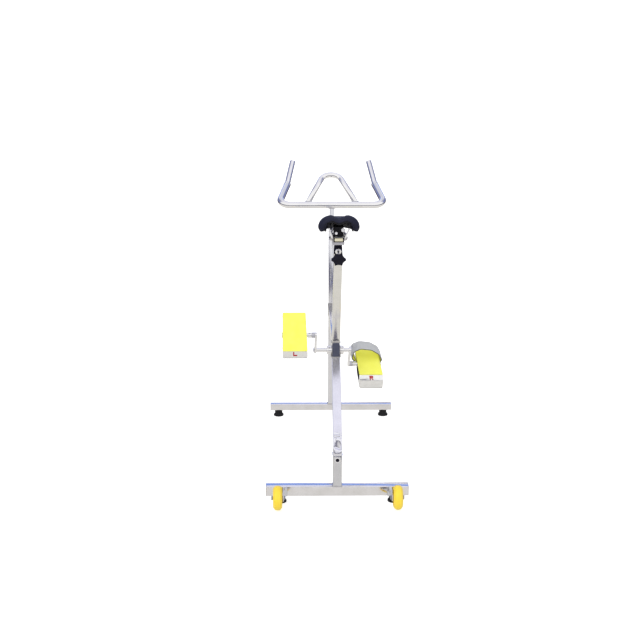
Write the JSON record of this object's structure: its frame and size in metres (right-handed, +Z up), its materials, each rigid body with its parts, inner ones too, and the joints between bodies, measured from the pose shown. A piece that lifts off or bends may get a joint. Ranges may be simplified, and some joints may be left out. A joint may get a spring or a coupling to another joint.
{
  "type": "aqua bike",
  "caption": "Free-standing stainless aqua bike with padded pedals, sliding saddle post and handlebar stem, and transport wheels.",
  "frame": {"origin": "on the floor under the middle of the bike's length and width", "axes": "+Y towards the handlebar, +Z up, +X to the rider's right"},
  "size_m": [0.56, 1.3228, 1.1528],
  "materials": {
    "polished_steel": "polished",
    "dark_steel": "satin",
    "black_plastic": "matte",
    "black_rubber": "matte",
    "yellow_plastic": "gloss",
    "white_nylon": "matte",
    "yellow_foam": "matte",
    "red_paint": "gloss",
    "grey_webbing": "woven",
    "black_vinyl": "satin"
  },
  "bodies": {
    "frame": {"rear_base_bar": "polished_steel", "front_base_bar": "polished_steel", "rear_end_cap_left": "polished_steel", "rear_end_cap_right": "polished_steel", "front_end_cap_left": "polished_steel", "front_end_cap_right": "polished_steel", "rear_foot_left": "black_rubber", "rear_foot_right": "black_rubber", "front_foot_left": "black_rubber", "front_foot_right": "black_rubber", "rear_post": "polished_steel", "post_plug": "black_plastic", "rear_strut": "polished_steel", "bottom_bracket_shell": "polished_steel", "main_beam": "polished_steel", "seat_tube": "polished_steel", "front_mast": "polished_steel", "seat_tube_head": "black_plastic", "seat_clamp_insert": "polished_steel", "mast_head": "black_plastic", "mast_clamp_insert": "polished_steel", "bearing_cup_left": "dark_steel", "bearing_cup_right": "dark_steel", "wheel_bracket_left": "polished_steel", "wheel_bracket_right": "polished_steel", "wheel_axle_left": "dark_steel", "wheel_axle_right": "dark_steel"},
    "crankset": {"crank_axle": "dark_steel", "crank_left": "polished_steel", "crank_right": "polished_steel", "crank_bolt_left": "dark_steel", "crank_bolt_right": "dark_steel", "pedal_spindle_left": "polished_steel", "pedal_spindle_right": "polished_steel"},
    "left_pedal": {"pedal_box_left": "polished_steel", "pedal_pad_left": "yellow_foam", "pedal_bearing_tube_left": "polished_steel", "pedal_mark_left": "red_paint"},
    "right_pedal": {"pedal_box_right": "polished_steel", "pedal_pad_right": "yellow_foam", "pedal_bearing_tube_right": "polished_steel", "pedal_mark_right": "red_paint", "pedal_strap_right": "grey_webbing"},
    "left_wheel": {"wheel_left": "yellow_plastic", "wheel_bush_left": "white_nylon"},
    "right_wheel": {"wheel_right": "yellow_plastic", "wheel_bush_right": "white_nylon"},
    "seat_carrier": {"seat_post": "polished_steel", "saddle_mount": "polished_steel", "clamp_cheek_left": "polished_steel", "clamp_cheek_right": "polished_steel", "saddle_clamp_bolt": "dark_steel"},
    "saddle": {"saddle_rails": "polished_steel", "saddle_shell": "black_plastic", "saddle_cushion": "black_vinyl"},
    "handlebar": {"handlebar_stem": "polished_steel", "handlebar_bar": "polished_steel", "handlebar_hoop": "polished_steel"},
    "seat_clamp_knob": {"seat_knob": "black_plastic"},
    "mast_clamp_knob": {"mast_knob": "black_plastic"}
  },
  "joints": [
    {"name": "crank_spin", "type": "hinge", "parent": "frame", "child": "crankset", "pos_m": [0, -0.24979, 0.53288], "axis": [-1, 0, 0], "continuous": true},
    {"name": "left_pedal_spin", "type": "hinge", "parent": "crankset", "child": "left_pedal", "pos_m": [-0.163, -0.38375, 0.63755], "axis": [1, 0, 0], "continuous": true},
    {"name": "right_pedal_spin", "type": "hinge", "parent": "crankset", "child": "right_pedal", "pos_m": [0.138, -0.11583, 0.42822], "axis": [1, 0, 0], "continuous": true},
    {"name": "left_wheel_spin", "type": "hinge", "parent": "frame", "child": "left_wheel", "pos_m": [-0.232, -0.61344, 0.0525], "axis": [1, 0, 0], "continuous": true},
    {"name": "right_wheel_spin", "type": "hinge", "parent": "frame", "child": "right_wheel", "pos_m": [0.232, -0.61344, 0.0525], "axis": [1, 0, 0], "continuous": true},
    {"name": "seat_height", "type": "slide", "parent": "frame", "child": "seat_carrier", "axis": [0, -0.4067, 0.9135], "range_m": [0, 0.2]},
    {"name": "saddle_slide", "type": "slide", "parent": "seat_carrier", "child": "saddle", "axis": [0, 1, 0], "range_m": [-0.02, 0.02]},
    {"name": "handlebar_height", "type": "slide", "parent": "frame", "child": "handlebar", "axis": [0, 0, 1], "range_m": [-0.05, 0.2]},
    {"name": "seat_knob_turn", "type": "hinge", "parent": "frame", "child": "seat_clamp_knob", "pos_m": [0, -0.44498, 0.99926], "axis": [0, -0.9135, -0.4067], "continuous": true},
    {"name": "mast_knob_turn", "type": "hinge", "parent": "frame", "child": "mast_clamp_knob", "pos_m": [0, 0.40556, 0.895], "axis": [0, 1, 0], "continuous": true}
  ]
}
